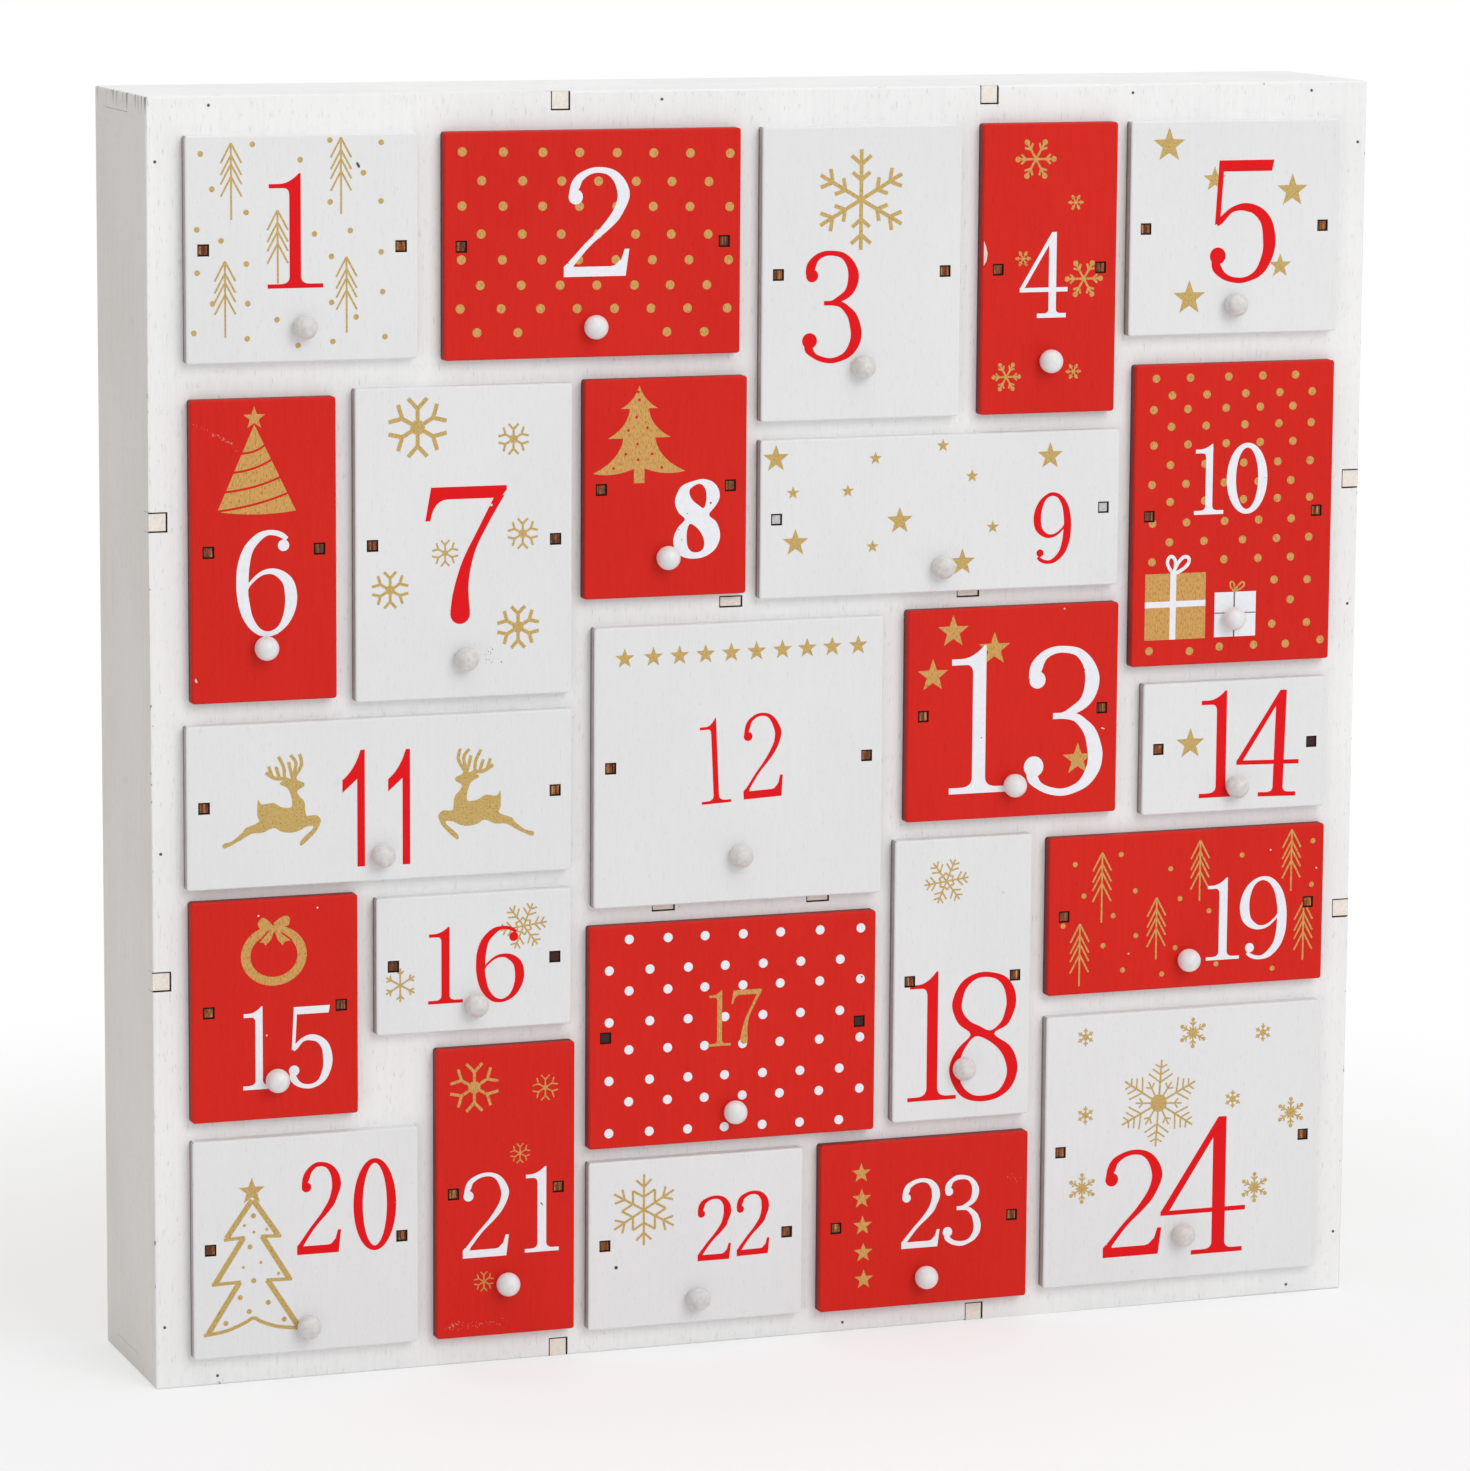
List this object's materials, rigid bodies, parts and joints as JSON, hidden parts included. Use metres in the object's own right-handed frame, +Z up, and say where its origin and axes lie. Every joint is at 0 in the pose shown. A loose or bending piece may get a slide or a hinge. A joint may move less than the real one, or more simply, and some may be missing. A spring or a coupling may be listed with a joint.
{
  "type": "advent calendar",
  "caption": "Flat free-standing wooden case whose face is filled with small numbered pull-out drawers of mixed sizes, each with a round knob.",
  "frame": {"origin": "on the standing surface, under the middle of the whole object's box", "axes": "+Z up, drawers open towards -Y, +X to the right as seen from the front"},
  "size_m": [0.35, 0.063, 0.346],
  "materials": {
    "white_paint": "matt white paint",
    "red_paint": "satin red paint",
    "bare_plywood": "bare laser-cut",
    "steel_pin": "dull"
  },
  "bodies": {
    "case": {"face_board": "white_paint", "left_wall": "white_paint", "right_wall": "white_paint", "top_panel": "white_paint", "bottom_panel": "white_paint", "back_board": "bare_plywood", "base_board": "bare_plywood", "left_shelves": "bare_plywood", "middle_shelves": "bare_plywood", "right_shelves": "bare_plywood", "uprights": "bare_plywood", "panel_pins": "steel_pin"},
    "drawer_01": {"drawer_01_front": "white_paint", "drawer_01_tray": "bare_plywood"},
    "drawer_02": {"drawer_02_front": "red_paint", "drawer_02_tray": "bare_plywood"},
    "drawer_03": {"drawer_03_front": "white_paint", "drawer_03_tray": "bare_plywood"},
    "drawer_04": {"drawer_04_front": "red_paint", "drawer_04_tray": "bare_plywood"},
    "drawer_05": {"drawer_05_front": "white_paint", "drawer_05_tray": "bare_plywood"},
    "drawer_06": {"drawer_06_front": "red_paint", "drawer_06_tray": "bare_plywood"},
    "drawer_07": {"drawer_07_front": "white_paint", "drawer_07_tray": "bare_plywood"},
    "drawer_08": {"drawer_08_front": "red_paint", "drawer_08_tray": "bare_plywood"},
    "drawer_09": {"drawer_09_front": "white_paint", "drawer_09_tray": "bare_plywood"},
    "drawer_10": {"drawer_10_front": "red_paint", "drawer_10_tray": "bare_plywood"},
    "drawer_11": {"drawer_11_front": "white_paint", "drawer_11_tray": "bare_plywood"},
    "drawer_12": {"drawer_12_front": "white_paint", "drawer_12_tray": "bare_plywood"},
    "drawer_13": {"drawer_13_front": "red_paint", "drawer_13_tray": "bare_plywood"},
    "drawer_14": {"drawer_14_front": "white_paint", "drawer_14_tray": "bare_plywood"},
    "drawer_15": {"drawer_15_front": "red_paint", "drawer_15_tray": "bare_plywood"},
    "drawer_16": {"drawer_16_front": "white_paint", "drawer_16_tray": "bare_plywood"},
    "drawer_17": {"drawer_17_front": "red_paint", "drawer_17_tray": "bare_plywood"},
    "drawer_18": {"drawer_18_front": "white_paint", "drawer_18_tray": "bare_plywood"},
    "drawer_19": {"drawer_19_front": "red_paint", "drawer_19_tray": "bare_plywood"},
    "drawer_20": {"drawer_20_front": "white_paint", "drawer_20_tray": "bare_plywood"},
    "drawer_21": {"drawer_21_front": "red_paint", "drawer_21_tray": "bare_plywood"},
    "drawer_22": {"drawer_22_front": "white_paint", "drawer_22_tray": "bare_plywood"},
    "drawer_23": {"drawer_23_front": "red_paint", "drawer_23_tray": "bare_plywood"},
    "drawer_24": {"drawer_24_front": "white_paint", "drawer_24_tray": "bare_plywood"}
  },
  "joints": [
    {"name": "drawer_01_slide", "type": "slide", "parent": "case", "child": "drawer_01", "axis": [0, -1, 0], "range_m": [0, 0.041]},
    {"name": "drawer_02_slide", "type": "slide", "parent": "case", "child": "drawer_02", "axis": [0, -1, 0], "range_m": [0, 0.041]},
    {"name": "drawer_03_slide", "type": "slide", "parent": "case", "child": "drawer_03", "axis": [0, -1, 0], "range_m": [0, 0.041]},
    {"name": "drawer_04_slide", "type": "slide", "parent": "case", "child": "drawer_04", "axis": [0, -1, 0], "range_m": [0, 0.041]},
    {"name": "drawer_05_slide", "type": "slide", "parent": "case", "child": "drawer_05", "axis": [0, -1, 0], "range_m": [0, 0.041]},
    {"name": "drawer_06_slide", "type": "slide", "parent": "case", "child": "drawer_06", "axis": [0, -1, 0], "range_m": [0, 0.041]},
    {"name": "drawer_07_slide", "type": "slide", "parent": "case", "child": "drawer_07", "axis": [0, -1, 0], "range_m": [0, 0.041]},
    {"name": "drawer_08_slide", "type": "slide", "parent": "case", "child": "drawer_08", "axis": [0, -1, 0], "range_m": [0, 0.041]},
    {"name": "drawer_09_slide", "type": "slide", "parent": "case", "child": "drawer_09", "axis": [0, -1, 0], "range_m": [0, 0.041]},
    {"name": "drawer_10_slide", "type": "slide", "parent": "case", "child": "drawer_10", "axis": [0, -1, 0], "range_m": [0, 0.041]},
    {"name": "drawer_11_slide", "type": "slide", "parent": "case", "child": "drawer_11", "axis": [0, -1, 0], "range_m": [0, 0.041]},
    {"name": "drawer_12_slide", "type": "slide", "parent": "case", "child": "drawer_12", "axis": [0, -1, 0], "range_m": [0, 0.041]},
    {"name": "drawer_13_slide", "type": "slide", "parent": "case", "child": "drawer_13", "axis": [0, -1, 0], "range_m": [0, 0.041]},
    {"name": "drawer_14_slide", "type": "slide", "parent": "case", "child": "drawer_14", "axis": [0, -1, 0], "range_m": [0, 0.041]},
    {"name": "drawer_15_slide", "type": "slide", "parent": "case", "child": "drawer_15", "axis": [0, -1, 0], "range_m": [0, 0.041]},
    {"name": "drawer_16_slide", "type": "slide", "parent": "case", "child": "drawer_16", "axis": [0, -1, 0], "range_m": [0, 0.041]},
    {"name": "drawer_17_slide", "type": "slide", "parent": "case", "child": "drawer_17", "axis": [0, -1, 0], "range_m": [0, 0.041]},
    {"name": "drawer_18_slide", "type": "slide", "parent": "case", "child": "drawer_18", "axis": [0, -1, 0], "range_m": [0, 0.041]},
    {"name": "drawer_19_slide", "type": "slide", "parent": "case", "child": "drawer_19", "axis": [0, -1, 0], "range_m": [0, 0.041]},
    {"name": "drawer_20_slide", "type": "slide", "parent": "case", "child": "drawer_20", "axis": [0, -1, 0], "range_m": [0, 0.041]},
    {"name": "drawer_21_slide", "type": "slide", "parent": "case", "child": "drawer_21", "axis": [0, -1, 0], "range_m": [0, 0.041]},
    {"name": "drawer_22_slide", "type": "slide", "parent": "case", "child": "drawer_22", "axis": [0, -1, 0], "range_m": [0, 0.041]},
    {"name": "drawer_23_slide", "type": "slide", "parent": "case", "child": "drawer_23", "axis": [0, -1, 0], "range_m": [0, 0.041]},
    {"name": "drawer_24_slide", "type": "slide", "parent": "case", "child": "drawer_24", "axis": [0, -1, 0], "range_m": [0, 0.041]}
  ]
}
